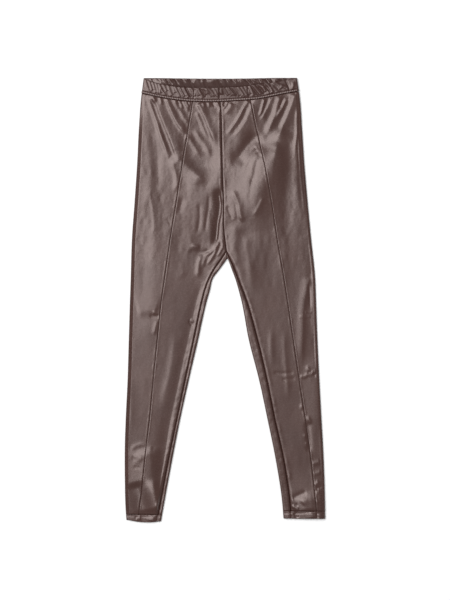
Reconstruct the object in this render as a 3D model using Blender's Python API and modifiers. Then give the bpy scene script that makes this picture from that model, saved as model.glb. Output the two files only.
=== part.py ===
"""Pull-on leggings of coated stretch fabric, laid flat on their back.

Each cut and sewn piece is a thin closed wall: four front panels, two back panels that wrap
round the inner edges of the legs, the front and back of the elastic waistband, and two hems.
Tables are in millimetres, with X across (the wearer's right at -X), Y up towards the waist
and Z up from the surface that the leggings lie on.
"""

import math

import bmesh
import bpy
import numpy as np

MM = 0.001

# Cloth
WALL = 1.2
BAND_WALL = 2.9
HEM_WALL = 2.0
SEAM_GAP = 0.15  # from a piece's edge to the line of its seam, so pieces lie 0.3 apart
SLANT_GAP = 0.2  # the same, measured across on a slanted seam

# Heights of the front's outer face above the surface
LEG_HEIGHT = 5.2
WAIST_HEIGHT = 6.0
BAND_HEIGHT = 6.8
WAIST_REACH = (352.0, 416.0)  # between these the leg height rises to the waist height

# The dip along each seam, and the ridge that its turned allowance raises beside the inseam
SEAM_DIP, SEAM_WIDTH = 1.0, 2.6
INSEAM_RIDGE, INSEAM_RIDGE_AWAY, INSEAM_RIDGE_WIDTH = 0.7, 10.0, 4.5
SIDE_FADE = 14.0  # folds die out over this distance from an outer fold or an inseam
CROTCH_FLAT = (3.0, 18.0)  # the dips start and are full at these distances from the crotch seams

FABRIC_COLOUR = (0.155, 0.115, 0.105, 1.0)
BAND_COLOUR = (0.135, 0.098, 0.090, 1.0)
FABRIC_ROUGHNESS = 0.4


def table(columns, *rows):
    """Rows sorted by their first column, as one array for each named column."""
    values = np.array(sorted(rows), float)
    return {name: values[:, i] for i, name in enumerate(columns)}


# Where the side folds and the seams of the front run, down the garment.
SIDES = table(
    ("y", "side_right", "princess_right", "princess_left", "side_left"),
    (468.0, -170.5, -60.5, 42.0, 151.0),
    (420.0, -176.5, -67.0, 53.0, 157.5),
    (357.0, -181.0, -77.5, 66.5, 162.0),
    (294.0, -184.0, -88.0, 81.0, 166.0),
    (210.0, -189.5, -101.5, 97.0, 173.0),
    (126.0, -195.5, -115.0, 110.0, 181.0),
    (42.0, -198.0, -127.0, 124.5, 189.5),
    (0.0, -199.5, -133.0, 131.0, 191.0),
    (-84.0, -202.0, -142.0, 143.5, 194.0),
    (-168.0, -204.5, -150.5, 156.0, 198.0),
    (-252.0, -208.5, -158.5, 169.0, 202.5),
    (-294.0, -210.0, -163.5, 175.0, 205.0),
    (-378.0, -210.25, -173.0, 185.5, 208.7),
    (-441.0, -208.5, -180.0, 192.0, 210.2),
    (-468.0, -206.5, -183.0, 194.5, 210.6),
)

# The centre front seam from the waist to the crotch, where four seams meet.
CENTRE = table(
    ("y", "front"),
    (468.0, -12.5),
    (420.0, -10.5),
    (395.0, -8.5),
    (336.0, -7.0),
    (273.0, -5.5),
    (210.0, -3.5),
    (147.0, -2.5),
    (115.5, 1.0),
    (102.0, 2.5),
)

# The inner folds of the legs, and the inseams that lie on the front beside them.
INNER_FOLDS = table(
    ("y", "fold_right", "fold_left"),
    (87.5, 5.0, 5.0),
    (78.0, -1.5, 9.0),
    (63.0, -12.5, 14.5),
    (46.0, -25.0, 21.0),
    (21.0, -31.5, 28.5),
    (0.0, -37.5, 34.0),
    (-84.0, -56.5, 50.0),
    (-168.0, -76.0, 71.5),
    (-252.0, -94.5, 89.5),
    (-336.0, -111.0, 106.5),
    (-420.0, -126.5, 119.5),
    (-468.0, -135.0, 123.5),
)
INSEAMS = table(
    ("y", "inseam_right", "inseam_left"),
    (102.0, 2.5, 2.5),
    (87.5, -7.0, 9.5),
    (63.0, -24.0, 20.5),
    (46.0, -33.0, 27.0),
    (21.0, -42.5, 37.0),
    (0.0, -48.0, 44.5),
    (-84.0, -66.0, 68.5),
    (-168.0, -84.0, 88.0),
    (-252.0, -101.5, 105.0),
    (-336.0, -119.0, 123.5),
    (-420.0, -134.5, 136.0),
    (-468.0, -143.5, 140.5),
)

# Each level of the legs: its height on the inseam, and how far below that its line meets the fold.
LEG_LEVELS = table(
    ("inseam_y", "below"),
    (102.0, 14.5),
    (94.0, 13.0),
    (85.0, 11.0),
    (76.0, 9.0),
    (66.0, 7.0),
    (55.0, 4.5),
    (42.0, 3.0),
    (26.0, 2.5),
    (8.0, 2.0),
    (-14.0, 2.0),
    (-38.0, 2.0),
    (-64.0, 2.0),
    (-90.0, 2.0),
    (-116.0, 2.0),
    (-142.0, 2.0),
    (-166.0, 2.0),
    (-190.0, 2.0),
    (-216.0, 2.0),
    (-242.0, 2.0),
    (-268.0, 2.0),
    (-294.0, 2.0),
    (-320.0, 2.0),
    (-346.0, 2.0),
    (-372.0, 2.0),
    (-396.0, 2.0),
    (-418.0, 1.0),
)

# The waistband's edges, by the share of the way across from the right side fold.
BAND = table(
    ("across", "front_low", "front_high", "back_low", "back_high"),
    (0.00, 434.0, 466.0, 434.0, 466.0),
    (0.04, 431.0, 460.5, 435.0, 466.0),
    (0.07, 428.5, 457.2, 435.8, 466.0),
    (0.14, 424.0, 452.5, 436.4, 465.7),
    (0.21, 420.3, 448.5, 436.4, 465.3),
    (0.28, 417.6, 446.4, 436.2, 465.0),
    (0.38, 416.0, 445.5, 436.0, 464.6),
    (0.49, 416.0, 446.0, 436.0, 464.5),
    (0.60, 418.2, 447.4, 436.2, 464.7),
    (0.68, 420.0, 450.0, 436.6, 465.0),
    (0.75, 422.5, 453.0, 437.0, 465.5),
    (0.82, 427.0, 456.0, 437.4, 465.9),
    (0.89, 432.0, 460.0, 437.8, 466.2),
    (0.95, 435.5, 463.3, 438.0, 466.4),
    (1.00, 438.0, 466.5, 438.0, 466.5),
)
FRONT_TOP, BACK_TOP = 416.0, 436.0
TOP_BLEND = 70.0  # the rows straighten from the band's curve over this height

# The gathers of the elastic: the pitch of its puckers, by the share of the way across.
FRONT_PUCKERS = table(
    ("across", "pitch", "height"),
    (0.00, 8.2, 0.35),
    (0.40, 8.6, 0.45),
    (0.49, 6.6, 0.40),
    (0.68, 6.6, 0.40),
    (0.80, 11.0, 0.45),
    (1.00, 12.5, 0.35),
)
BACK_PUCKERS = table(
    ("across", "pitch", "height"),
    (0.00, 13.0, 0.30),
    (0.50, 15.0, 0.45),
    (1.00, 13.0, 0.30),
)
PUCKER_SLANT = 6.0  # how far a pucker leans across the height of the band
PUCKER_FADE = 16.0

# A band's section from its lower edge, round the outside, over the top fold and down the inside:
# the share of its height, the depth below its outer face, and the share of a pucker there.
FRONT_SECTION = (
    {"up": 0.00, "depth": 0.5, "pucker": 0.0},
    {"up": 0.07, "depth": 0.0, "pucker": 0.0},
    {"up": 0.15, "depth": 0.3, "pucker": 0.2},
    {"up": 0.30, "depth": 0.1, "pucker": 1.0},
    {"up": 0.60, "depth": 0.0, "pucker": 1.0},
    {"up": 0.92, "depth": 0.1, "pucker": 0.8},
    {"up": 1.00, "depth": 1.4, "pucker": 0.0},
    {"up": 0.92, "depth": BAND_WALL, "pucker": 0.0},
    {"up": 0.00, "depth": BAND_WALL, "pucker": 0.0},
)
BACK_SECTION = (
    {"up": 0.00, "depth": 0.0, "pucker": 0.0},
    {"up": 0.93, "depth": 0.0, "pucker": 0.0},
    {"up": 1.00, "depth": 1.4, "pucker": 0.0},
    {"up": 0.92, "depth": BAND_WALL, "pucker": -0.8},
    {"up": 0.60, "depth": BAND_WALL, "pucker": -1.0},
    {"up": 0.30, "depth": BAND_WALL, "pucker": -1.0},
    {"up": 0.12, "depth": BAND_WALL, "pucker": 0.0},
    {"up": 0.00, "depth": BAND_WALL, "pucker": 0.0},
)

# The turned hems: the stitch line that starts each, and its lower edge at the side fold,
# at the middle and at the inner fold.
HEMS = {
    "right": {"top": -450.0, "edge": (-461.5, -466.5, -464.5)},
    "left": {"top": -443.0, "edge": (-459.0, -459.0, -458.5)},
}

# The main folds of the front, each along its crest (a trough where its rise is negative):
# how high it stands, how wide its slope is towards -X and towards +X, the length over which
# it starts and ends, and the points that it passes.
FOLDS = (
    {"rise": 1.5, "west": 8, "east": 7, "start": 0, "end": 70,
     "path": ((-161, 422), (-152, 395), (-142, 366), (-132, 332), (-125, 302), (-115, 273))},
    {"rise": 3.0, "west": 6, "east": 17, "start": 0, "end": 50,
     "path": ((-144, 421), (-138, 399), (-131, 376), (-122, 353), (-111, 327), (-98, 300))},
    {"rise": 2.3, "west": 5, "east": 10, "start": 0, "end": 25,
     "path": ((-124, 419), (-118, 401), (-107, 380), (-95, 363), (-84, 352))},
    {"rise": 1.5, "west": 6, "east": 7, "start": 8, "end": 16,
     "path": ((-107, 418), (-97, 403), (-88, 388), (-75, 370))},
    {"rise": 2.6, "west": 7, "east": 9, "start": 6, "end": 40,
     "path": ((-56, 411), (-44, 384), (-32, 360), (-24, 340), (-17, 321))},
    {"rise": 1.3, "west": 7, "east": 8, "start": 20, "end": 25,
     "path": ((-69, 367), (-58, 346), (-49, 329), (-38, 310))},
    {"rise": 1.6, "west": 16, "east": 5, "start": 6, "end": 30,
     "path": ((-13, 411), (-13, 386), (-14, 357))},
    {"rise": 2.0, "west": 5, "east": 8, "start": 2, "end": 30,
     "path": ((46, 416), (33, 396), (19, 373), (3, 348))},
    {"rise": 1.4, "west": 8, "east": 12, "start": 6, "end": 14,
     "path": ((12, 415), (3, 401), (-3, 384))},
    {"rise": 3.0, "west": 14, "east": 15, "start": 18, "end": 40,
     "path": ((61, 407), (52, 376), (38, 348), (20, 324), (6, 304))},
    {"rise": 1.6, "west": 22, "east": 16, "start": 30, "end": 40,
     "path": ((84, 350), (65, 321), (46, 290), (27, 262))},
    {"rise": 1.6, "west": 6, "east": 8, "start": 0, "end": 18,
     "path": ((93, 418), (82, 398), (72, 377))},
    {"rise": 2.3, "west": 10, "east": 9, "start": 0, "end": 35,
     "path": ((122, 420), (108, 393), (97, 371), (86, 348))},
    {"rise": 3.2, "west": 14, "east": 15, "start": 0, "end": 90,
     "path": ((143, 424), (132, 390), (122, 367), (115, 346), (112, 315), (112, 252), (109, 178))},
    {"rise": 0.9, "west": 5, "east": 5, "start": 20, "end": 60,
     "path": ((152, 403), (151, 357), (149, 304), (149, 262))},
    {"rise": 2.6, "west": 22, "east": 7, "start": 50, "end": 25,
     "path": ((-12, 252), (-22, 212), (-30, 168), (-33, 111))},
    {"rise": -0.9, "west": 6, "east": 6, "start": 30, "end": 30,
     "path": ((-13, 235), (-20, 178), (-24, 119))},
    {"rise": 1.0, "west": 3, "east": 3, "start": 20, "end": 30,
     "path": ((-7, 231), (-9, 164), (-13, 130))},
    {"rise": -1.2, "west": 5, "east": 5, "start": 15, "end": 12,
     "path": ((-80, 103), (-56, 96), (-34, 100), (-25, 113))},
    {"rise": 1.3, "west": 9, "east": 6, "start": 20, "end": 25,
     "path": ((13, 231), (26, 180), (38, 149))},
    {"rise": 1.1, "west": 7, "east": 7, "start": 18, "end": 18,
     "path": ((80, 218), (65, 197), (50, 179))},
    {"rise": 1.4, "west": 18, "east": 14, "start": 60, "end": 80,
     "path": ((-165, 230), (-168, 150), (-172, 60), (-175, 0))},
    {"rise": 1.3, "west": 16, "east": 14, "start": 60, "end": 90,
     "path": ((-120, 60), (-128, -40), (-138, -150), (-150, -260))},
    {"rise": 1.2, "west": 18, "east": 14, "start": 60, "end": 90,
     "path": ((150, 90), (160, -10), (170, -120), (182, -240))},
    {"rise": -1.0, "west": 5, "east": 5, "start": 10, "end": 10,
     "path": ((157, -164), (174, -158), (192, -152))},
    {"rise": 1.1, "west": 9, "east": 9, "start": 10, "end": 10,
     "path": ((-200, -377), (-177, -401), (-161, -422), (-146, -434))},
)

# A fold's quarter as straight runs: they touch the true arc at 0, 30, 60 and 90 degrees.
ARC_STEP = math.radians(15)
NEAR, FAR = math.tan(ARC_STEP), math.cos(3 * ARC_STEP) / math.cos(ARC_STEP)
QUARTER = ((0.0, 0.0), (0.0, NEAR), (1 - FAR, FAR), (1 - NEAR, 1.0))
SHOULDER = 1.9  # the front's face starts this many radii inside the side fold


def read(rows, column, place):
    """A column's value at a place, on a smooth curve through the table's rows."""
    places = next(iter(rows.values()))
    values = rows[column]
    slopes = np.gradient(values, places)
    place = np.clip(place, places[0], places[-1])
    low = np.clip(np.searchsorted(places, place, side="right") - 1, 0, len(places) - 2)
    step = places[low + 1] - places[low]
    t = (place - places[low]) / step
    return (
        (1 + 2 * t) * (1 - t) ** 2 * values[low]
        + t * (1 - t) ** 2 * step * slopes[low]
        + t * t * (3 - 2 * t) * values[low + 1]
        + t * t * (t - 1) * step * slopes[low + 1]
    )


def fade(value, start, end):
    """From 0 at start to 1 at end, level at both."""
    t = np.clip((value - start) / (end - start), 0.0, 1.0)
    return t * t * (3 - 2 * t)


def base_height(y):
    return LEG_HEIGHT + (WAIST_HEIGHT - LEG_HEIGHT) * fade(y, *WAIST_REACH)


def fold_line(fold):
    """A fold's crest as short runs: their ends, and how far along the crest each lies."""
    path = np.array(fold["path"], float)
    lengths = np.append(0.0, np.cumsum(np.linalg.norm(np.diff(path, axis=0), axis=1)))
    smooth = table(("at", "x", "y"), *zip(lengths, path[:, 0], path[:, 1]))
    at = np.linspace(0.0, lengths[-1], 4 * len(path))
    return read(smooth, "x", at), read(smooth, "y", at), at


def fold_relief(fold, x, y):
    """How far one fold lifts the cloth at each point."""
    line_x, line_y, at = fold_line(fold)
    nearest = np.full(np.shape(x), np.inf)
    side, along = np.zeros(np.shape(x)), np.zeros(np.shape(x))
    for i in range(len(at) - 1):
        run_x, run_y = line_x[i + 1] - line_x[i], line_y[i + 1] - line_y[i]
        run = math.hypot(run_x, run_y)
        away_x, away_y = x - line_x[i], y - line_y[i]
        share = np.clip((away_x * run_x + away_y * run_y) / run**2, 0.0, 1.0)
        away_x, away_y = away_x - share * run_x, away_y - share * run_y
        away = np.hypot(away_x, away_y)
        nearer = away < nearest
        nearest = np.where(nearer, away, nearest)
        along = np.where(nearer, at[i] + share * run, along)
        side = np.where(nearer, run_x * away_y - run_y * away_x, side)
    width = np.where(side > 0, fold["east"], fold["west"])
    shape = np.exp(-((nearest / width) ** 2)) * fade(at[-1] - along, 0, fold["end"])
    if fold["start"]:
        shape *= fade(along, 0, fold["start"])
    return fold["rise"] * shape


def front_height(x, y):
    """The height of the front's outer face at each point."""
    x, y = np.asarray(x, float), np.asarray(y, float)
    above = y > CENTRE["y"][0]
    from_edges = np.minimum(x - read(SIDES, "side_right", y), read(SIDES, "side_left", y) - x)
    to_princess = np.minimum(
        abs(x - read(SIDES, "princess_right", y)), abs(x - read(SIDES, "princess_left", y))
    )
    to_centre = abs(x - read(CENTRE, "front", y))
    to_inseam = np.minimum(
        abs(x - read(INSEAMS, "inseam_right", y)), abs(x - read(INSEAMS, "inseam_left", y))
    )
    to_seam = np.minimum(to_princess, np.where(above, to_centre, to_inseam))
    away = (to_inseam - INSEAM_RIDGE_AWAY) / INSEAM_RIDGE_WIDTH
    height = base_height(y) + np.where(above, 0.0, INSEAM_RIDGE * np.exp(-(away**2)))
    to_crotch = np.hypot(x - CENTRE["front"][0], y - CENTRE["y"][0])
    height -= SEAM_DIP * np.exp(-((to_seam / SEAM_WIDTH) ** 2)) * fade(to_crotch, *CROTCH_FLAT)
    from_edges = np.where(above, from_edges, np.minimum(from_edges, to_inseam))
    folds = sum(fold_relief(fold, x, y) for fold in FOLDS)
    return height + folds * fade(from_edges, 0, SIDE_FADE)


def top_row_y(edge, top, x, level):
    """A level near the waist follows the band's lower edge, and straightens below it."""
    right, left = read(SIDES, "side_right", level), read(SIDES, "side_left", level)
    rise = read(BAND, edge, (x - right) / (left - right)) - top
    return level + rise * fade(level, top - TOP_BLEND, top)


def zip_rows(mesh, first, second):
    """Faces between two rows of corners: triangles where one row has more of them."""
    i = j = 0
    while i < len(first) - 1 or j < len(second) - 1:
        on_first, on_second = (i + 1) / (len(first) - 1), (j + 1) / (len(second) - 1)
        if abs(on_first - on_second) < 1e-6:
            corners = (first[i], first[i + 1], second[j + 1], second[j])
            i, j = i + 1, j + 1
        elif on_first < on_second:
            corners = (first[i], first[i + 1], second[j])
            i += 1
        else:
            corners = (first[i], second[j + 1], second[j])
            j += 1
        mesh.faces.new(corners)


def cloth(name, grids, wall, colour, outward, closed=False):
    """One piece: an open sheet through rows of outer points, then its wall set inwards."""
    mesh = bmesh.new()
    corners = {}

    def corner(point):
        key = tuple(round(float(value), 4) for value in point)
        if key not in corners:
            corners[key] = mesh.verts.new([value * MM for value in point])
        return corners[key]

    for rows in grids:
        rows = [[corner(point) for point in row] for row in rows]
        for first, second in zip(rows, rows[1:]):
            zip_rows(mesh, first, second)
            if closed:
                mesh.faces.new((first[-1], first[0], second[0], second[-1]))
    bmesh.ops.recalc_face_normals(mesh, faces=mesh.faces)
    mesh.normal_update()
    tested = max(mesh.faces, key=lambda face: face.calc_center_median().z * outward)
    if tested.normal.z * outward < 0:
        bmesh.ops.reverse_faces(mesh, faces=mesh.faces)
    piece = new_object(name, mesh, colour)
    solidify = piece.modifiers.new("Wall", "SOLIDIFY")
    solidify.thickness = wall * MM
    solidify.offset = -1.0
    return piece


def new_object(name, mesh, colour):
    """A named object in the leggings' collection, with its own material."""
    data = bpy.data.meshes.new(name)
    mesh.to_mesh(data)
    mesh.free()
    data.shade_smooth()
    piece = bpy.data.objects.new(name, data)
    bpy.data.collections["Leggings"].objects.link(piece)
    material = bpy.data.materials.new(name)
    material.use_nodes = True
    shader = material.node_tree.nodes["Principled BSDF"]
    shader.inputs["Base Color"].default_value = colour
    shader.inputs["Roughness"].default_value = FABRIC_ROUGHNESS
    shader.inputs["Metallic"].default_value = 0.0
    data.materials.append(material)
    return piece


def spread(first, last, count):
    return [first + (last - first) * i / count for i in range(count + 1)]


# ---------------------------------------------------------------- front panels

FRONT_LEVELS = (416, 409, 400, 389, 377, 364, 350, 335, 319, 302, 284, 266, 247, 228, 208,
                188, 168, 149, 132, 117)
SEAM_STRIP = 3.0  # a column of points lies this far inside each seam


def leg_levels(leg):
    """The levels of one leg on its inseam, from the crotch to the top of its hem."""
    top = HEMS[leg]["top"]
    return [float(y) for y in LEG_LEVELS["inseam_y"][::-1] if y > top + 8] + [top]


def front_line(name, leg):
    """A seam of the front as a function of Y."""
    if name == "centre":
        return lambda y: np.where(
            np.asarray(y) > CENTRE["y"][0],
            read(CENTRE, "front", y),
            read(INSEAMS, "inseam_" + leg, y),
        )
    return lambda y: read(SIDES, f"{name}_{leg}", y)


def front_points(start, end, shares, level):
    """The points at shares of the way between two lines of the front, on a level."""
    y = np.full(len(shares), float(level))
    for _ in range(4):
        x = start(y) + shares * (end(y) - start(y))
        y = top_row_y("front_low", FRONT_TOP, x, level)
    return x, y


def front_levels(leg):
    levels = [float(level) for level in FRONT_LEVELS] + leg_levels(leg)
    levels[0] -= SEAM_GAP
    levels[-1] += SEAM_GAP
    return levels


def front_grid(leg, start, end, pitches):
    """Rows of points across part of a front panel; its pitch across differs down the panel."""
    rows = []
    for level in front_levels(leg):
        width = abs(end(level) - start(level))
        count = max(1, round(width / read(pitches, "pitch", level)))
        x, y = front_points(start, end, np.linspace(0.0, 1.0, count + 1), level)
        rows.append(list(zip(x, y, front_height(x, y))))
    return rows


PITCHES = table(("y", "pitch"), (-468, 17), (-60, 16), (120, 14), (200, 10), (300, 7.5), (420, 7))


def front_side(leg):
    """A front side panel, from the side seam on the outer fold to the princess seam."""
    inward = 1 if leg == "right" else -1
    side, princess = front_line("side", leg), front_line("princess", leg)
    arc_rows = []
    for level in front_levels(leg):
        row = []
        for inset, rise in QUARTER:
            def line(y, inset=inset):
                return side(y) + inward * inset * base_height(y) / 2

            x, y = front_points(line, line, np.zeros(1), level)
            radius = base_height(y[0]) / 2
            row.append((x[0], y[0], max(radius * (1 + rise), radius + SEAM_GAP)))
        arc_rows.append(row)

    def inner(y):
        return side(y) + inward * SHOULDER * base_height(y) / 2

    def strip(y):
        return princess(y) - inward * SEAM_STRIP

    def edge(y):
        return princess(y) - inward * SEAM_GAP

    face_rows = front_grid(leg, inner, strip, PITCHES)
    for arc_row, face_row in zip(arc_rows, face_rows):
        arc_row.append(face_row[0])
    strip_rows = front_grid(leg, strip, edge, table(("y", "pitch"), (-999, 99), (999, 99)))
    cloth(f"front_side_{leg}", (arc_rows, face_rows, strip_rows), WALL, FABRIC_COLOUR, 1)


def front_centre(leg):
    """A front centre panel, from the princess seam to the centre seam and the inseam."""
    inward = 1 if leg == "right" else -1
    princess, centre = front_line("princess", leg), front_line("centre", leg)
    lines = (
        lambda y: princess(y) + inward * SEAM_GAP,
        lambda y: princess(y) + inward * SEAM_STRIP,
        lambda y: centre(y) - inward * SEAM_STRIP,
        lambda y: centre(y) - inward * SLANT_GAP,
    )
    strip_pitch = table(("y", "pitch"), (-999, 99), (999, 99))
    grids = (
        front_grid(leg, lines[0], lines[1], strip_pitch),
        front_grid(leg, lines[1], lines[2], PITCHES),
        front_grid(leg, lines[2], lines[3], strip_pitch),
    )
    cloth(f"front_centre_{leg}", grids, WALL, FABRIC_COLOUR, 1)


# ---------------------------------------------------------------- back panels

BACK_LEVELS = (436, 420, 404, 386, 366, 344, 320, 294, 266, 238, 210, 182, 154, 128, 106)
BACK_CENTRE = table(("y", "seam"), (90.0, 4.6), (160.0, 1.0), (260.0, -4.0), (440.0, -11.0))
BACK_PITCHES = table(("y", "pitch"), (-468, 28), (440, 44))


def back_panel(leg):
    """A back panel: flat below, round the inner fold of the leg and up to its inseam."""
    inward = 1 if leg == "right" else -1
    wraps = []
    levels = leg_levels(leg)
    for i, inseam_y in enumerate(levels):
        fold_y = inseam_y - read(LEG_LEVELS, "below", inseam_y)
        if i == len(levels) - 1:
            inseam_y = fold_y = inseam_y + SEAM_GAP
        fold = np.array((read(INNER_FOLDS, "fold_" + leg, fold_y), fold_y))
        seam = np.array((read(INSEAMS, "inseam_" + leg, inseam_y), inseam_y))
        if i == 0:
            fold[0] -= inward * SEAM_GAP
            seam[0] -= inward * SEAM_GAP
        length = np.linalg.norm(seam - fold)
        into = (seam - fold) / length
        radius = base_height(fold_y) / 2
        row = [(0.98, -1.0)] + [(inset, -rise) for inset, rise in reversed(QUARTER)][:-1]
        row += list(QUARTER)[1:]
        points = []
        for inset, rise in row:
            x, y = fold + into * inset * radius
            points.append((x, y, radius * (1 + rise)))
        end = seam - into * (2.5 * SEAM_GAP if i == 0 else SEAM_GAP)
        middle = fold + into * (radius + 0.45 * (length - radius))
        points.append((*middle, 2 * radius))
        points.append((*end, front_height(*seam)))
        wraps.append(points)

    side = front_line("side", leg)
    arc_rows, face_rows = [], []
    ends = [(None, level) for level in BACK_LEVELS] + [(row[0], row[0][1]) for row in wraps]
    for number, (end, level) in enumerate(ends):
        if number == 0:
            level -= SEAM_GAP
        arc_row = []
        for inset, rise in QUARTER:
            y = level
            for _ in range(4):
                radius = base_height(y) / 2
                x = side(y) + inward * inset * radius
                y = top_row_y("back_low", BACK_TOP, x, level) if end is None else level
            arc_row.append((x, y, min(radius * (1 - rise), radius - SEAM_GAP)))
        arc_rows.append(arc_row)
        if end is None:
            x = read(BACK_CENTRE, "seam", level) - inward * SEAM_GAP
            end = (x, top_row_y("back_low", BACK_TOP, x, level), 0.0)
        start = arc_row[-1]
        count = max(2, round(abs(end[0] - start[0]) / read(BACK_PITCHES, "pitch", level)))
        face_row = [start]
        for share in spread(0.0, 1.0, count)[1:-1]:
            x = start[0] + share * (end[0] - start[0])
            y = start[1] + share * (end[1] - start[1])
            if number < len(BACK_LEVELS):
                y = top_row_y("back_low", BACK_TOP, x, level)
            face_row.append((x, y, 0.0))
        face_rows.append(face_row + [end])
    cloth(f"back_{leg}", (arc_rows, face_rows, wraps), WALL, FABRIC_COLOUR, -1)


# ---------------------------------------------------------------- waistband and hems

def pucker_columns(puckers, length):
    """Places along a band and their height: a trough, then the two sides of a crest."""
    columns = [(0.0, 0.0)]
    at = 5.0
    number = 0
    while at < length - 7.0:
        share = at / length
        pitch, height = read(puckers, "pitch", share), read(puckers, "height", share)
        pitch *= 1 + 0.18 * math.sin(2.4 * number)
        height *= 1 + 0.25 * math.sin(1.7 * number + 1)
        height *= fade(min(at, length - at), 0, PUCKER_FADE)
        columns += [(at, -height), (at + 0.36 * pitch, height), (at + 0.64 * pitch, height)]
        at += pitch
        number += 1
    return [column for column in columns if column[0] < length - 4.0] + [(length, 0.0)]


def band(part, puckers, section, up):
    """Half of the waistband, from side fold to side fold; up is 1 for the front, -1 the back."""
    radius = BAND_HEIGHT / 2
    middle = 452.0
    width = read(SIDES, "side_left", middle) - read(SIDES, "side_right", middle)
    length = width + (math.pi - 2) * radius
    places = {at: height for at, height in pucker_columns(puckers, length)}
    quarter = math.pi / 2 * radius
    bends = [step * quarter / 3 for step in range(1, 4)]
    for at in bends + [length - at for at in bends]:
        places = {k: v for k, v in places.items() if abs(k - at) > 1.5 or k in (0.0, length)}
        places[at] = 0.0
    rows = []
    for at in sorted(places):
        row = []
        for point in section:
            lean = PUCKER_SLANT * (0.5 - point["up"]) * fade(min(at, length - at), 8, 40)
            along = at + lean
            depth = point["depth"] - point["pucker"] * places[at]
            row.append(band_point(part, along, length, point["up"], depth, up))
        rows.append(row)
    mesh = bmesh.new()
    corners = [[mesh.verts.new([value * MM for value in point]) for point in row] for row in rows]
    for first, second in zip(corners, corners[1:]):
        for i, _ in enumerate(section):
            j = (i + 1) % len(section)
            mesh.faces.new((first[i], second[i], second[j], first[j]))
    mesh.faces.new(corners[0])
    mesh.faces.new(corners[-1][::-1])
    bmesh.ops.recalc_face_normals(mesh, faces=mesh.faces)
    new_object(f"waistband_{part}", mesh, BAND_COLOUR)


def band_point(part, along, length, up_share, depth, up):
    """The point at a distance along the band's outer face, set inwards by a depth."""
    radius = BAND_HEIGHT / 2
    quarter = math.pi / 2 * radius
    share = np.clip((along - 0.6 * radius) / (length - 1.2 * radius), 0.0, 1.0)
    low, high = read(BAND, part + "_low", share), read(BAND, part + "_high", share)
    y = low + up_share * (high - low)
    right, left = read(SIDES, "side_right", y), read(SIDES, "side_left", y)
    near = min(along, length - along)
    if near < quarter:
        turn = near / radius
        inset = radius - (radius - depth) * math.cos(turn)
        lift = (radius - depth) * math.sin(turn)
    else:
        inset = radius + (near - quarter) * (left - right - 2 * radius) / (length - 2 * quarter)
        lift = radius - depth
    x = right + inset if along < length / 2 else left - inset
    return x, y, radius + up * max(lift, SEAM_GAP)


def hem(leg):
    """A leg's turned hem: a flattened tube of double cloth, open at both ends."""
    top, edge = HEMS[leg]["top"] - SEAM_GAP, HEMS[leg]["edge"]
    radius = LEG_HEIGHT / 2
    inward = 1 if leg == "right" else -1
    corner = [(inset * radius, rise * radius) for inset, rise in QUARTER[1:]]
    rows = []
    for drop in (0.0, 0.5, 1.0):
        row = []
        for up in (1, -1):
            shares = spread(0.0, 1.0, 4)[1:-1]
            loop = [("side", inset, lift) for inset, lift in corner]
            loop += [(share, 0.0, radius) for share in shares]
            loop += [("fold", inset, lift) for inset, lift in reversed(corner)]
            for where, inset, lift in loop if up > 0 else reversed(loop):
                share = {"side": 0.0, "fold": 1.0}.get(where, where)
                low = edge[0] * (1 - share) * (1 - 2 * share) + edge[1] * 4 * share * (1 - share)
                low -= edge[2] * share * (1 - 2 * share)
                y = top + drop * (low - top)
                side = read(SIDES, "side_" + leg, y)
                fold = read(INNER_FOLDS, "fold_" + leg, y)
                x = side + share * (fold - side)
                x += inward * inset * (1 if where == "side" else -1)
                row.append((x, y, radius + up * lift))
        rows.append(row)
    cloth(f"hem_{leg}", (rows,), HEM_WALL, FABRIC_COLOUR, 1, closed=True)


def main():
    for old in list(bpy.data.objects):
        bpy.data.objects.remove(old, do_unlink=True)
    collection = bpy.data.collections.new("Leggings")
    bpy.context.scene.collection.children.link(collection)
    for leg in ("right", "left"):
        front_side(leg)
        front_centre(leg)
        back_panel(leg)
        hem(leg)
    band("front", FRONT_PUCKERS, FRONT_SECTION, 1)
    band("back", BACK_PUCKERS, BACK_SECTION, -1)


main()
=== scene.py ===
"""The looks of a pair of coated stretch leggings laid flat: gathered waistband, seamed panels, hems.

All tables are in millimetres in the frame's own axes: X across (the wearer's right at -X),
Y up towards the waist and Z up from the surface that the leggings lie on.
"""

import math

import bmesh
import bpy
import numpy as np
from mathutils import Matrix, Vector
from mathutils.bvhtree import BVHTree


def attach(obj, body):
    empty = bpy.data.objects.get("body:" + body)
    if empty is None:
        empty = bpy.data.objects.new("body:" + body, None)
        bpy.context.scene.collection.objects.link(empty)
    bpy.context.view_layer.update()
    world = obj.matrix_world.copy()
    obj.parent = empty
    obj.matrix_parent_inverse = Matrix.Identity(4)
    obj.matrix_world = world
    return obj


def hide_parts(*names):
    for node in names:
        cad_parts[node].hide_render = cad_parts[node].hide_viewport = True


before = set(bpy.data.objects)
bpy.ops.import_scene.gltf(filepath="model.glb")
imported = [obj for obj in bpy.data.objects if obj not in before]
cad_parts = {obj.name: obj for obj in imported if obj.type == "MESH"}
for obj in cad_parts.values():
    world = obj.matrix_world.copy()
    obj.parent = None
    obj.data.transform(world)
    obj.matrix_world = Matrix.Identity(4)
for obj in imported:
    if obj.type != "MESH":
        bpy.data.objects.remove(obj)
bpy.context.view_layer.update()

MM = 0.001

# Thickness of the panels, the band and the hems, and half of the gap at a seam
WALL = 1.2
BAND_WALL = 2.9
HEM_WALL = 2.0
SEAM_GAP = 0.06

# Heights of the outer face on the legs and at the waist, the levels between them, and the band's
LEG_HEIGHT = 5.2
WAIST_HEIGHT = 6.0
WAIST_REACH = (352.0, 416.0)
BAND_HEIGHT = 6.8
# How far in the front curves at the outer fold of each leg
EDGE_ROLL = {"right": 8.0, "left": 5.5}
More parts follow.
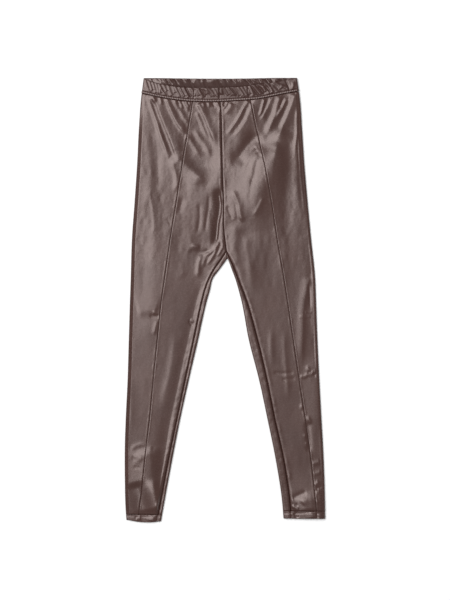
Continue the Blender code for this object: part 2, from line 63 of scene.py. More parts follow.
# How far in a back panel and a hem curve at a leg's outer and inner fold
OUTER_ROLL, INNER_ROLL = 3.5, 3.2
# The direction from each leg's outer fold to its inner one
INWARD = {"right": 1, "left": -1}
# Points round a half turn and a quarter turn of a folded edge
HALF_TURN, QUARTER_TURN = 15, 8


def table(columns, *rows):
    """Rows sorted by their first column, as one array for each named column."""
    values = np.array(sorted(rows), float)
    return {name: values[:, i] for i, name in enumerate(columns)}


# Where the outer folds, the seams of the front and the inner folds run
SIDES = table(
    ("y", "side_right", "princess_right", "princess_left", "side_left"),
    (468, -170.5, -60.5, 42, 151),
    (420, -176.5, -67, 53, 157.5),
    (357, -181, -77.5, 66.5, 162),
    (294, -184, -88, 81, 166),
    (210, -189.5, -101.5, 97, 173),
    (126, -195.5, -115, 110, 181),
    (42, -198, -127, 124.5, 189.5),
    (0, -199.5, -133, 131, 191),
    (-84, -202, -142, 143.5, 194),
    (-168, -204.5, -150.5, 156, 198),
    (-252, -208.5, -158.5, 169, 202.5),
    (-294, -210, -163.5, 175, 205),
    (-378, -210.25, -173, 185.5, 208.7),
    (-441, -208.5, -180, 192, 210.2),
    (-468, -206.5, -183, 194.5, 210.6),
)
CENTRE = table(
    ("y", "front"),
    (468, -12.5), (420, -10.5), (395, -8.5), (336, -7), (273, -5.5), (210, -3.5), (147, -2.5),
    (115.5, 1), (102, 2.5),
)
INNER_FOLDS = table(
    ("y", "fold_right", "fold_left"),
    (87.5, 5, 5), (78, -1.5, 9), (63, -12.5, 14.5), (46, -25, 21), (21, -31.5, 28.5), (0, -37.5, 34),
    (-84, -56.5, 50), (-168, -76, 71.5), (-252, -94.5, 89.5), (-336, -111, 106.5),
    (-420, -126.5, 119.5), (-468, -135, 123.5),
)
INSEAMS = table(
    ("y", "inseam_right", "inseam_left"),
    (102, 2.5, 2.5), (87.5, -7, 9.5), (63, -24, 20.5), (46, -33, 27), (21, -42.5, 37), (0, -48, 44.5),
    (-84, -66, 68.5), (-168, -84, 88), (-252, -101.5, 105), (-336, -119, 123.5), (-420, -134.5, 136),
    (-468, -143.5, 140.5),
)
# How far below its level at the inseam a row of the back reaches the inner fold
LEG_LEVELS = table(
    ("inseam_y", "below"),
    (102, 14.5), (94, 13), (85, 11), (76, 9), (66, 7), (55, 4.5), (42, 3), (26, 2.5), (8, 2), (-396, 2),
    (-418, 1), (-450, 0),
)
# The edges of the band's two halves, by the share of the way across from its right end
BAND = table(
    ("across", "front_low", "front_high", "back_low", "back_high"),
    (0, 434, 466, 434, 466),
    (0.04, 431, 460.5, 435, 466),
    (0.07, 428.5, 457.2, 435.8, 466),
    (0.14, 424, 452.5, 436.4, 465.7),
    (0.21, 420.3, 448.5, 436.4, 465.3),
    (0.28, 417.6, 446.4, 436.2, 465),
    (0.38, 416, 445.5, 436, 464.6),
    (0.49, 416, 446, 436, 464.5),
    (0.60, 418.2, 447.4, 436.2, 464.7),
    (0.68, 420, 450, 436.6, 465),
    (0.75, 422.5, 453, 437, 465.5),
    (0.82, 427, 456, 437.4, 465.9),
    (0.89, 432, 460, 437.8, 466.2),
    (0.95, 435.5, 463.3, 438, 466.4),
    (1, 438, 466.5, 438, 466.5),
)
# The level of the top rows in the middle, and how far below it rows still follow the band
FRONT_TOP, BACK_TOP = 416.0, 436.0
TOP_BLEND = 70.0
# The hems' seams, and their lower edges at the outer fold, in the middle and at the inner fold
HEMS = {
    "right": {"top": -450, "edge": (-461.5, -466.5, -464.5)},
    "left": {"top": -443, "edge": (-459, -459, -458.5)},
}
BACK_CENTRE = table(("y", "seam"), (90, 4.6), (160, 1), (260, -4), (440, -11))

# A crease: how high its crest stands (a trough is negative), the width of its slope towards -X and
# towards +X, the lengths over which it starts and ends, and then X and Y of each point of its path.
# On a path that runs across, from -X to +X, the two widths are those towards -Y and +Y.
FOLD_COLUMNS = ("rise", "west", "east", "start", "end")


def folds(*rows):
    """Creases as dictionaries, from rows of those numbers and the path that follows them."""
    path_at = len(FOLD_COLUMNS)
    return [dict(zip(FOLD_COLUMNS, row), path=np.reshape(row[path_at:], (-1, 2))) for row in rows]


# The left ankle's broad crest, which runs on from the panel over the hem
ANKLE_CREST = (3.2, 60, 14, 110, 2, 188, -340, 193, -375, 197, -405, 199, -435, 200, -470)
# The creases of the front
FOLDS = folds(
    # right side panel, fanning out below the band
    (1.17, 3.8, 6, 0, 40, -160, 424, -156, 410, -149, 390, -143, 372, -138, 355, -133, 340, -127, 325,
     -121, 308, -113, 288),
    (1.95, 4.5, 18, 0, 32, -153, 424, -143, 412, -138, 398, -133, 385, -127, 370, -121, 355, -116, 343,
     -111, 330, -105, 314, -100, 300, -97, 288),
    (1.4, 3.8, 11, 0, 20, -122, 420, -116, 405, -111, 393, -105, 380, -99, 370, -92, 360, -85, 352,
     -78, 344),
    (0.86, 3.8, 7, 0, 15, -108, 420, -100, 405, -94, 397, -87, 385, -79, 372, -75, 364),
    (0.9, 3, 3, 0, 8, -95, 417, -91, 408, -88, 400),
    (0.8, 2.5, 3, 0, 8, -87, 415, -82, 405, -75, 394),
    (0.8, 2.5, 2.5, 0, 6, -82, 416, -78, 408, -74, 402),
    (0.6, 2, 2, 0, 5, -75, 415, -72, 407),
    (0.8, 3, 3, 0, 8, -151, 428, -148, 420, -145, 413),
    (0.8, 3, 3, 0, 8, -136, 424, -134, 416, -131, 408),
    (0.9, 3, 3, 0, 10, -104, 418, -98, 408),
    (0.3, 8, 12, 20, 60, -163, 350, -160, 320, -156, 285, -157, 251, -163, 220, -165, 188, -168, 156),
    (-0.7, 15, 7, 130, 50, -158, 425, -152, 390, -147, 350, -143, 310, -140, 265, -138, 225),
    (0.35, 4, 8, 20, 30, -157, 240, -156, 220, -151, 188, -149, 156, -152, 125),
    (0.9, 6, 6, 15, 15, -111, 300, -108, 282, -101, 251, -104, 225),
    (-0.25, 10, 9, 30, 30, -143, 290, -141, 251, -137, 220, -132, 188, -131, 156, -133, 120, -134, 95),
    (-0.2, 2.5, 2.5, 8, 8, -123, 174, -117, 163, -112, 152),
    # right centre panel
    (1.48, 4.5, 10, 4, 30, -56, 413, -46, 393, -39, 378, -33, 362, -27, 348, -21, 334, -14, 318),
    (0.7, 3, 6, 8, 20, -61, 396, -54, 380, -47, 362, -41, 350, -33, 335),
    (0.94, 5.2, 8, 20, 20, -68, 362, -59, 348, -49, 335, -42, 325, -34, 310, -27, 298),
    (0.9, 4.5, 7, 10, 15, -84, 349, -73.5, 336, -65, 323, -58, 311, -47, 298),
    (2.2, 15, 15, 20, 28, -112, 306, -98, 295, -86, 285, -73, 273, -59, 261, -46, 251, -34, 244),
    (2.4, 28, 50, 35, 85, -55, 283, -50, 262, -46, 240, -46, 200, -50, 160),
    (1.25, 24, 3, 20, 30, -12, 400, -11, 350, -10, 310, -9, 275, -9, 245, -8, 218),
    (0.8, 2.5, 2.5, 0, 5, -16, 413, -11, 404, -10, 394),
    (-0.8, 3, 3, 0, 10, -25, 413, -20, 402),
    (0.7, 2.5, 2.5, 0, 8, -46, 412, -41, 403),
    (0.7, 3, 3, 0, 8, -34, 412, -31, 403),
    # left centre panel
    (1.01, 3, 7, 2, 15, 49, 418, 41, 406, 34, 393, 27, 380, 19, 368, 11, 357, 3, 345),
    (1.56, 5.2, 24, 0, 25, 68, 430, 54, 400, 48, 385, 42, 372, 34, 360, 26, 350, 14, 338),
    (1.01, 4.5, 8, 4, 10, 14, 414, 11, 405, 6, 397, 0, 388),
    (0.6, 2, 2.5, 0, 4, 5, 414, 1, 407, -4, 401),
    (-0.9, 2, 2, 0, 4, 0, 414, -4, 406),
    (-2.5, 13, 17, 20, 30, 76, 352, 59, 337, 47, 322, 37, 308, 27, 295, 12, 280),
    (-0.5, 4, 4, 5, 14, 66, 322, 58, 315, 51.5, 307, 45, 298, 39, 288, 34, 278),
    (-0.45, 3.6, 4, 5, 14, 70, 314, 63, 307, 58.5, 298, 52.5, 290, 48, 281, 43, 270),
    (-0.55, 4.5, 6, 6, 50, 78, 306, 71.5, 298, 67, 290, 65, 281, 63, 269, 58.5, 252, 54, 235, 52, 218,
     50, 200),
    (4.8, 46, 42, 45, 95, 86, 335, 84, 305, 80, 269, 78, 252, 72, 235, 67, 218, 63, 202, 56, 180, 50, 155,
     46, 130),
    (0.5, 4, 6, 12, 12, 81, 218, 74, 201, 66, 186, 61, 174),
    (1.2, 4.5, 7, 12, 15, 17, 232, 22, 218, 28, 202, 31, 185, 35, 168, 38, 160),
    (0.6, 10, 5, 20, 12, 15, 236, 17, 207, 20, 184, 21, 166),
    (-0.6, 4, 4, 8, 8, 5, 199, 10, 183, 17, 168),
    (0.9, 14, 12, 20, 40, 20, 165, 22, 145, 20, 114, 24, 90, 32, 60, 40, 25),
    (0.9, 12, 16, 25, 50, 47, 145, 48, 105, 54, 60, 64, 5),
    # left side panel
    (1, 3, 3.5, 0, 10, 82, 418, 78, 403, 75, 392, 70, 384),
    (0.94, 3, 9, 0, 14, 96, 420, 90, 405, 85, 395, 79, 384, 73, 376),
    (1.64, 6.8, 9, 0, 25, 114, 422, 109, 405, 106, 390, 101, 378, 96, 367, 90, 352, 86, 341),
    (1.01, 3, 6, 0, 14, 128, 421, 121, 405, 113, 391, 106, 380),
    (-0.6, 1.8, 2, 0, 5, 120, 417, 113, 402),
    (1.72, 5.2, 15, 0, 30, 146, 427, 140, 408, 134, 395, 128, 380, 122, 366, 117, 352, 112, 342, 107, 333),
    (2.3, 17, 34, 25, 75, 120, 365, 112, 338, 108, 310, 104, 285, 100, 262, 98, 240, 97, 215),
    (0.9, 14, 12, 15, 20, 110, 335, 107, 320, 104, 305, 101, 290),
    (0.9, 12, 9, 30, 80, 154, 350, 152, 310, 151, 270, 151, 240, 154, 200, 159, 150),
    (-0.8, 16, 22, 30, 60, 136, 385, 135, 340, 133, 300, 131, 260, 130, 220, 130, 180, 134, 130, 140, 80),
    (0.94, 3.8, 4, 20, 60, 152, 408, 151, 380, 151, 350, 148, 320, 146, 290),
    (0.3, 3, 3, 20, 50, 154, 350, 156, 310, 159, 265, 164, 215, 168, 170),
    (-0.3, 2, 2, 20, 20, 152, 350, 153, 315, 156, 265),
    (0.7, 3, 5, 0, 10, 138, 430, 136, 420, 134, 412),
    # crotch
    (-3, 9, 3.5, 18, 20, -11, 236, -12, 226, -11, 214, -9, 201, -10, 185, -14, 164, -17, 136, -20, 110),
    (0.45, 2.5, 6, 50, 15, -7, 222, -8, 200, -9, 188, -12, 156, -14, 130, -16, 114),
    (1, 3, 3, 8, 10, -16, 130, -19, 118, -21, 110, -26, 103, -35, 97, -46, 93),
    (1, 3, 4, 6, 14, -13, 124, -17, 112, -20, 102, -25, 93, -31, 84, -38, 72),
    (0.8, 2.5, 2.5, 6, 8, -8, 130, -5, 120, -6, 110, -11, 100, -17, 90),
    (-0.7, 5, 5, 12, 8, -80, 104, -66, 101, -52, 100, -40, 102, -32, 108),
    (0.8, 5, 4, 10, 10, -73, 116, -62, 113, -50, 109),
    (-0.45, 4, 4, 15, 15, -34, 226, -34, 201, -36, 185, -39, 164, -42, 140),
    (-0.4, 4, 4, 15, 15, -53, 205, -53, 188, -54, 164, -58, 136),
    (-0.5, 6, 6, 14, 14, -87, 220, -93, 196, -99, 174),
    (0.9, 5, 6, 10, 14, -48, 96, -54, 78, -56, 60, -55, 45),
    (0.7, 4, 4, 8, 10, -40, 92, -44, 80, -45, 66),
    (0.3, 6, 6, 12, 14, -82, 66, -90, 54, -97, 40),
    # right leg
    (0.9, 30, 80, 60, 60, -146, 190, -148, 130, -146, 80, -143, 30, -142, -30, -148, -110),
    (0.7, 10, 30, 10, 10, -186, -26, -168, -22, -152, -20, -139, -25),
    (0.5, 2.2, 2.2, 5, 4, -153, -25, -145, -27, -138, -29),
    (-0.7, 3.5, 3, 8, 3, -160, -32, -148, -34, -138, -33),
    (0.5, 5, 3.5, 8, 10, -141, -42, -145, -55, -149, -75),
    (-0.45, 12, 4, 30, 60, -50, 40, -53, 21, -62, -10, -69, -42, -78, -84, -83, -105, -95, -160,
     -106, -210, -117, -265),
    (-1.1, 20, 5, 60, 16, -106, -210, -117, -265, -124, -310, -131, -350, -140, -405),
    (0.5, 8, 14, 40, 60, -104, -60, -108, -110, -116, -160, -128, -205, -140, -240),
    (-0.7, 2.5, 2.5, 5, 5, -77, -42, -70, -51, -63, -59),
    (0.7, 3, 3, 4, 4, -73, -40, -66, -48),
    (0.4, 6, 10, 40, 60, -198, -150, -197, -220, -196, -290),
    (0.5, 6, 4, 6, 8, -198, -314, -186, -306, -172, -303, -160, -307, -149, -312),
    (0.5, 7, 5, 8, 8, -192, -336, -180, -332, -170, -336),
    (-0.35, 3, 3, 8, 8, -198, -330, -188, -334, -178, -330),
    (-0.3, 3, 3, 8, 8, -195, -353, -184, -351, -174, -354),
    (-2.5, 20, 16, 16, 4, -189, -380, -185, -394, -180, -410, -175, -426, -171, -442, -169, -455),
    (2.4, 32, 20, 20, 12, -160, -305, -157, -335, -154, -365, -151, -395, -148, -418, -145, -432,
     -143, -447),
    (2.2, 17, 10, 20, 13, -150, -372, -149, -390, -147, -408, -143, -425, -140, -440, -139, -449),
    (0.5, 2.2, 2.2, 3, 3, -148, -430, -141, -432, -137, -430),
    (0.7, 3, 3, 3, 4, -152, -447, -146, -448, -143, -450),
    # left leg
    (0.9, 11, 6, 14, 60, 178, 50, 173, 30, 168, 5, 164, -22, 163, -60, 161, -120, 162, -150),
    (-0.5, 2.5, 2.5, 8, 14, 176, 36, 178, 10, 179, -18),
    (0.45, 4, 4, 14, 60, 184, 60, 184, 30, 184, 0, 185, -40, 187, -90),
    (1.2, 26, 10, 40, 60, 190, -110, 193, -160, 195, -210, 198, -260, 200, -300),
    ANKLE_CREST,
    (0.5, 2, 2, 3, 4, 167, -26, 176, -26, 184, -26),
    (0.5, 2, 2, 6, 6, 154, -35, 168, -35, 183, -34),
    (0.7, 3, 3, 4, 4, 157, -160, 165, -161, 173, -157, 181, -155, 187, -151),
    (0.6, 2.5, 3, 3, 3, 181, -153, 192, -150),
    (-0.6, 2.5, 3, 4, 4, 172, -150, 182, -156, 192, -159),
    (0.6, 4, 3, 6, 6, 170, -138, 176, -145, 180, -152),
    (-0.5, 3, 3, 8, 8, 100, -152, 122, -154, 146, -152),
    (-0.4, 3, 3, 8, 8, 118, -166, 134, -166, 150, -164),
    (0.4, 6, 7, 30, 40, 97, -55, 97, -100, 101, -145),
    (0.4, 6, 6, 30, 40, 124, -65, 126, -110, 130, -160, 134, -215),
    (-1, 6, 5, 12, 16, 173, -252, 175, -275, 177, -300, 178, -325),
    (0.7, 4, 4, 8, 10, 171, -242, 177, -252, 182, -262),
    (0.6, 3.5, 2.5, 4, 6, 160, -218, 162, -232),
    (0.6, 3.5, 2.5, 4, 6, 167, -280, 170, -290),
    (0.6, 3.5, 2.5, 4, 6, 171, -296, 173, -308),
    (0.7, 5, 4, 4, 4, 182, -344, 190, -342, 200, -339),
    (0.6, 4, 4, 4, 4, 184, -366, 192, -364, 202, -360),
    (0.8, 5, 3, 3, 5, 188, -390, 193, -384, 199, -381),
    (-0.8, 3, 3, 3, 5, 190, -398, 196, -394, 205, -393),
    (0.7, 3, 3, 3, 4, 190, -404, 200, -403),
    (0.6, 2.5, 3, 3, 3, 191, -420, 197, -428),
    (-0.8, 5, 5, 8, 6, 138, -416, 150, -412, 162, -406, 172, -403),
    (1, 10, 10, 10, 8, 168, -412, 166, -422, 160, -430),
    (1.3, 24, 12, 26, 10, 176, -398, 180, -415, 182, -432, 183, -446),
    (-0.7, 2.2, 2.2, 2, 3, 139, -428, 147, -431, 154, -429),
    (0.8, 2.5, 2.5, 2, 3, 140, -432, 147, -435, 155, -440),
    (-1, 4, 3, 2, 3, 139, -438, 146, -444, 153, -454),
)

# The creases of the back, whose rise is how deep each is pressed in from the surface
BACK_FOLDS = folds(
    (0.8, 5, 9, 0, 40, -146, 432, -136, 405, -122, 372, -108, 345),
    (0.7, 5, 8, 0, 30, -108, 434, -98, 410, -88, 385, -80, 362),
    (0.6, 4, 6, 0, 25, -66, 434, -60, 412, -50, 392),
    (0.6, 4, 6, 0, 25, -34, 434, -30, 408, -27, 384),
    (0.7, 5, 7, 0, 30, 16, 434, 20, 408, 30, 380),
    (0.8, 5, 8, 0, 35, 52, 434, 58, 400, 70, 368, 84, 344),
    (0.7, 5, 8, 0, 30, 94, 434, 98, 408, 108, 380),
    (0.8, 6, 9, 0, 40, 136, 432, 130, 398, 122, 362),
    (0.9, 8, 10, 20, 40, -16, 118, -48, 104, -88, 112, -128, 138),
    (0.9, 8, 10, 20, 40, 20, 120, 54, 106, 90, 116, 134, 146),
    (0.7, 6, 8, 15, 30, -62, 62, -100, 52, -146, 60),
    (0.7, 6, 8, 15, 30, 52, 58, 92, 50, 140, 62),
    (0.7, 6, 8, 20, 20, -190, -60, -150, -72, -96, -64),
    (0.6, 5, 7, 20, 20, -186, -96, -146, -104, -104, -98),
    (0.7, 6, 8, 20, 20, 88, -66, 130, -76, 176, -62),
    (0.6, 5, 7, 20, 20, 96, -100, 134, -106, 178, -98),
    (0.6, 5, 7, 10, 12, -198, -380, -170, -386, -146, -378),
    (0.6, 5, 7, 10, 12, 140, -376, 168, -384, 196, -376),
)

# Seams: the depth and width of their groove, and the height, distance and width of the low,
# puckered welt beside it
SEAM_KINDS = {
    "princess": (0.6, 0.6, 0.14, 2.6, 1.6),
    "centre": (1.4, 0.9, 0.20, 4.5, 2.0),
    "inseam": (1.6, 1.2, 0.20, 6.0, 3.5),
}
SEAM_PUCKER = 7.0
CROTCH = (CENTRE["front"][0], CENTRE["y"][0])
# The size of the grid of random heights, and the cell that the origin falls in
RIPPLE_CELLS = 64
RIPPLE_SHIFT = (31.0, 17.0)
# The front's low waves: how high and how wide, their width over their length, and the seed
WAVES = ((0.36, 24.0, 0.40, 21), (0.12, 9.0, 0.5, 22), (0.04, 4.0, 0.8, 23))
# How much higher the cloth lies at -X, and its fall for each millimetre towards +X
LEANS = {"left_leg": (0.3, 0.013), "right_leg": (0.9, 0.014), "right_hip": (0.8, 0.012)}
RIGHT_PUFF = 1.5
# How many points a crease's smooth line has for each of its path, how far its slopes reach in
# widths, and the powers by which they fall
LINE_POINTS = 5
FOLD_REACH = 3.2
WEST_FALL, EAST_FALL = 2.0, 1.6
# How often a point's X and Y are worked out from each other
SETTLING = 5


def read(rows, column, place):
    """A column's value at a place, on a smooth curve through the table's rows."""
    places = next(iter(rows.values()))
    values = rows[column]
    slopes = np.gradient(values, places)
    place = np.clip(place, places[0], places[-1])
    low = np.clip(np.searchsorted(places, place, side="right") - 1, 0, len(places) - 2)
    step = places[low + 1] - places[low]
    t = (place - places[low]) / step
    return (
        (1 + 2 * t) * (1 - t) ** 2 * values[low]
        + t * (1 - t) ** 2 * step * slopes[low]
        + t * t * (3 - 2 * t) * values[low + 1]
        + t * t * (t - 1) * step * slopes[low + 1]
    )


def fade(value, start, end):
    """From 0 at start to 1 at end, level at both."""
    t = np.clip((value - start) / (end - start), 0.0, 1.0)
    return t * t * (3 - 2 * t)


def hump(value, width):
    """A smooth bump, 1 high at nought and almost gone at twice its width."""
    return np.exp(-((value / width) ** 2))


def ripple(x, y, size, seed):
    """Smooth unevenness from -1 to 1, in hills of one size."""
    heights = np.random.default_rng(seed).uniform(-1, 1, (RIPPLE_CELLS, RIPPLE_CELLS))
    u, v = np.asarray(x) / size + RIPPLE_SHIFT[0], np.asarray(y) / size + RIPPLE_SHIFT[1]
    i, j = np.floor(u).astype(int), np.floor(v).astype(int)
    s, t = fade(u - i, 0, 1), fade(v - j, 0, 1)
    i, j = i % RIPPLE_CELLS, j % RIPPLE_CELLS
    k, m = (i + 1) % RIPPLE_CELLS, (j + 1) % RIPPLE_CELLS
    low = heights[i, j] * (1 - s) + heights[k, j] * s
    return low * (1 - t) + (heights[i, m] * (1 - s) + heights[k, m] * s) * t


def sides_at(y):
    """X of the right and the left outer fold."""
    return read(SIDES, "side_right", y), read(SIDES, "side_left", y)


def base_height(y):
    """How high the front lies between its folds."""
    return LEG_HEIGHT + (WAIST_HEIGHT - LEG_HEIGHT) * fade(y, *WAIST_REACH)


def fold_line(fold):
    """A fold's crest as short runs: their ends, each as X + iY, and how far along each lies."""
    path = np.array(fold["path"], float)
    lengths = np.append(0.0, np.cumsum(np.linalg.norm(np.diff(path, axis=0), axis=1)))
    smooth = table(("at", "x", "y"), *zip(lengths, path[:, 0], path[:, 1]))
    at = np.linspace(0.0, lengths[-1], LINE_POINTS * len(path))
    return read(smooth, "x", at) + 1j * read(smooth, "y", at), at


def fold_relief(fold, x, y):
    """How far one fold lifts the cloth at each point."""
    crest, at = fold_line(fold)
    reach = FOLD_REACH * max(fold["west"], fold["east"])
    relief = np.zeros(x.shape)
    close = (x > crest.real.min() - reach) & (x < crest.real.max() + reach)
    close &= (y > crest.imag.min() - reach) & (y < crest.imag.max() + reach)
    if not close.any():
        return relief
    points = x[close] + 1j * y[close]
    nearest = np.full(points.shape, np.inf)
    side, along = np.zeros(points.shape), np.zeros(points.shape)
    for begin, run, length in zip(crest, np.diff(crest), at):
        share = np.clip(((points - begin) / run).real, 0.0, 1.0)
        away = points - begin - share * run
        nearer = np.abs(away) < nearest
        nearest = np.where(nearer, np.abs(away), nearest)
        along = np.where(nearer, length + share * np.abs(run), along)
        side = np.where(nearer, (away / run).imag, side)
    width = np.where(side > 0, fold["east"], fold["west"])
    shape = np.exp(-((nearest / width) ** np.where(side > 0, EAST_FALL, WEST_FALL)))
    shape *= fade(at[-1] - along, 0, fold["end"])
    if fold["start"]:
        shape *= fade(along, 0, fold["start"])
    relief[close] = fold["rise"] * shape
    return relief


def creased(creases, x, y):
    """How far all the creases of a list lift the cloth at each point."""
    return sum(fold_relief(crease, x, y) for crease in creases)


def away_from(rows, column, x, y):
    """The distance of each point from a line of the front, square to it."""
    step = 2.0
    run = (read(rows, column, y + step) - read(rows, column, y - step)) / (2 * step)
    return (x - read(rows, column, y)) / np.sqrt(1.0 + run**2)


def seam_relief(kind, away, along, seed):
    """The groove of a seam, and the welt that its turned allowance raises beside it."""
    depth, width, rise, welt_away, welt_width = SEAM_KINDS[kind]
    puckers = 0.6 + 0.9 * ripple(along * 0 + seed, along, SEAM_PUCKER, seed)
    puckers += 0.4 * ripple(along * 0 + seed, along, 2.2 * SEAM_PUCKER, seed + 1)
    welt = hump(np.abs(away) - welt_away, welt_width)
    return rise * puckers * welt - depth * hump(away, width)


def seams_at(x, y):
    """The relief of the front's seams at each point."""
    in_leg = fade(CROTCH[1] - y, -1.0, 4.0)
    relief = np.zeros(x.shape)
    for leg, seed in (("right", 3), ("left", 4)):
        relief += seam_relief("princess", away_from(SIDES, "princess_" + leg, x, y), y, seed)
        away = away_from(INSEAMS, "inseam_" + leg, x, y)
        relief += seam_relief("inseam", away, y, seed + 4) * in_leg
    away = x - read(CENTRE, "front", y)
    return relief + seam_relief("centre", away, y, 9) * fade(y - CROTCH[1], -4.0, 1.0)


def unevenness(x, y):
    """Low waves all over the front, weaker on the legs."""
    waves = sum(rise * ripple(x, ratio * y, size, seed) for rise, size, ratio, seed in WAVES)
    return (1 - 0.6 * fade(-y, -110, -10)) * waves


def puff(from_right, y):
    """How much fuller the outer fold of the right leg and hip stands."""
    full = RIGHT_PUFF * fade(from_right, 0, EDGE_ROLL["right"]) * (1 - fade(from_right, 30, 170))
    return full * (1 - 0.7 * fade(y, 320, 400)) * (1 - 0.35 * fade(y, 20, 120))


def lean(x, y, from_right):
    """How the legs and the right hip lie tilted, lower towards +X."""
    from_inseam = np.clip(x - read(INSEAMS, "inseam_left", y), 0.0, None)
    high, fall = LEANS["left_leg"]
    tilt = (high - fall * from_inseam) * fade(-y, -150, -40) * (x > CROTCH[0])
    tilt *= 1 - 0.6 * fade(-y, 180, 340)
    high, fall = LEANS["right_leg"]
    tilt += (high - fall * from_right) * fade(-y, -60, 60) * (x < CROTCH[0])
    high, fall = LEANS["right_hip"]
    at_hip = fade(y, -60, 60) * (1 - fade(y, 330, 405)) * fade(CROTCH[0] - x, 0, 60)
    return tilt + (high - fall * from_right) * at_hip


def front_height(x, y):
    """The height of the front's outer face at each point."""
    right, left = sides_at(y)
    from_right = x - right
    to_inseam = np.minimum(*(np.abs(x - read(INSEAMS, "inseam_" + leg, y)) for leg in INWARD))
    in_leg = fade(CROTCH[1] - y, -12.0, 12.0)
    calm = fade(from_right, 2, 8) * fade(left - x, 0, 8)
    calm *= 1 - in_leg * (1 - fade(to_inseam, 0, 7))
    form = creased(FOLDS, x, y) + unevenness(x, y) + puff(from_right, y) + lean(x, y, from_right)
    return base_height(y) + seams_at(x, y) + form * calm


def top_row_y(edge, top, x, level):
    """A level near the waist follows the band's lower edge, and straightens below it."""
    right, left = sides_at(level)
    rise = read(BAND, edge, (x - right) / (left - right)) - top
    return level + rise * fade(level, top - TOP_BLEND, top)


# ---------- meshes ----------


def quad_rows(index):
    """The quads of a grid, or of several, from the numbers of their points."""
    corners = (index[..., :-1, :-1], index[..., :-1, 1:], index[..., 1:, 1:], index[..., 1:, :-1])
    return np.stack(corners, axis=-1).reshape(-1, 4)


def joined(*grids):
    """Grids of points, each given as its X, Y and Z, side by side as one."""
    return np.dstack([np.hstack(values) for values in zip(*grids)])


def new_object(name, data):
    """An object in the scene."""
    thing = bpy.data.objects.new(name, data)
    bpy.context.scene.collection.objects.link(thing)
    return thing


def grid_object(name, points, closed=False, thickness=WALL, flip=False):
    """A sheet of quads through a grid of points in millimetres, with a wall set inwards."""
    rows, columns = points.shape[:2]
    index = np.arange(rows * columns).reshape(rows, columns)
    if closed:
        index = np.hstack([index, index[:, :1]])
    quads = quad_rows(index)
    if flip:
        quads = quads[:, ::-1]
    return mesh_object(name, points.reshape(-1, 3), quads, thickness)


def mesh_object(name, points, quads, thickness=0.0):
    """An object of quads between points in millimetres, with a wall set inwards if it has one."""
    mesh = bpy.data.meshes.new(name)
    mesh.from_pydata(np.asarray(points) * MM, [], quads)
    mesh.validate()
    mesh.shade_smooth()
    piece = new_object(name, mesh)
    if thickness:
        wall = piece.modifiers.new("Wall", "SOLIDIFY")
        wall.thickness = thickness * MM
        wall.offset = -1.0
        wall.use_rim = True
    return piece


def line(rows, column):
    """A table's column as a function of Y."""
    return lambda y: read(rows, column, y)


# The distance between rows of points over the hips and on the legs, and the columns of each panel
HIP_STEP, LEG_STEP, STRIP_STEP = 1.6, 2.7, 2.4
SIDE_COLUMNS, CENTRE_COLUMNS, BACK_COLUMNS = 72, 66, 56
# Rows of the back above the crotch
BACK_ROWS = 110


def front_levels(leg):
    """Levels from the band's lower edge to the hem's stitch line, closer above the crotch."""
    bottom = HEMS[leg]["top"] + SEAM_GAP
    upper = np.linspace(FRONT_TOP - SEAM_GAP, CROTCH[1], round((FRONT_TOP - CROTCH[1]) / HIP_STEP))
    lower = np.linspace(CROTCH[1], bottom, round((CROTCH[1] - bottom) / LEG_STEP))
    return np.append(upper, lower[1:])


def centre_line(leg):
    """The centre front seam, and below the crotch the inseam of a leg."""
    return lambda y: np.where(y > CROTCH[1], read(CENTRE, "front", y), read(INSEAMS, "inseam_" + leg, y))


# Distances in from a panel's edge of the columns that carry its seam
SEAM_COLUMNS = np.array([0.0, 0.35, 0.75, 1.2, 1.75, 2.4, 3.2, 4.2])
# Across a rounded outer fold: how far in each column is, and its share of the rise on the leg
# and at the waist
EDGE_COLUMNS = {
    "right": (
        (0, 0, 0), (0.1, 0.04, 0.25), (0.4, 0.07, 0.45), (0.9, 0.13, 0.62), (1.6, 0.21, 0.77),
        (2.6, 0.34, 0.89), (3.8, 0.49, 0.95), (5.0, 0.64, 0.975), (6.4, 0.82, 0.99), (7.4, 0.94, 1.0),
    ),
    "left": (
        (0, 0, 0), (0.1, 0.2, 0.2), (0.3, 0.36, 0.36), (0.7, 0.52, 0.52), (1.2, 0.67, 0.67),
        (1.8, 0.79, 0.79), (2.5, 0.88, 0.88), (3.2, 0.94, 0.94), (3.9, 0.975, 0.975), (4.7, 0.99, 0.99),
    ),
}


def front_columns(middle, seamed):
    """Columns across a panel, close at its seams: a share of the way, and a distance from there."""
    first = SEAM_COLUMNS if seamed else np.zeros(1)
    shares = np.linspace(0.0, 1.0, middle)[1:-1]
    aways = first[-1] * (1 - shares) - SEAM_COLUMNS[-1] * shares
    shares = np.concatenate([0 * first, shares, 0 * SEAM_COLUMNS + 1])
    return shares, np.concatenate([first, aways, -SEAM_COLUMNS[::-1]])


def front_xy(start, end, inward, columns, levels):
    """X and Y of a panel's columns between two lines of the front, on each level."""
    shares, aways = columns
    level = levels[:, None]
    y = level + 0.0 * shares
    for _ in range(SETTLING):
        x = start(y) + shares * (end(y) - start(y)) + inward * aways
        y = top_row_y("front_low", FRONT_TOP, x, level)
    return x, y


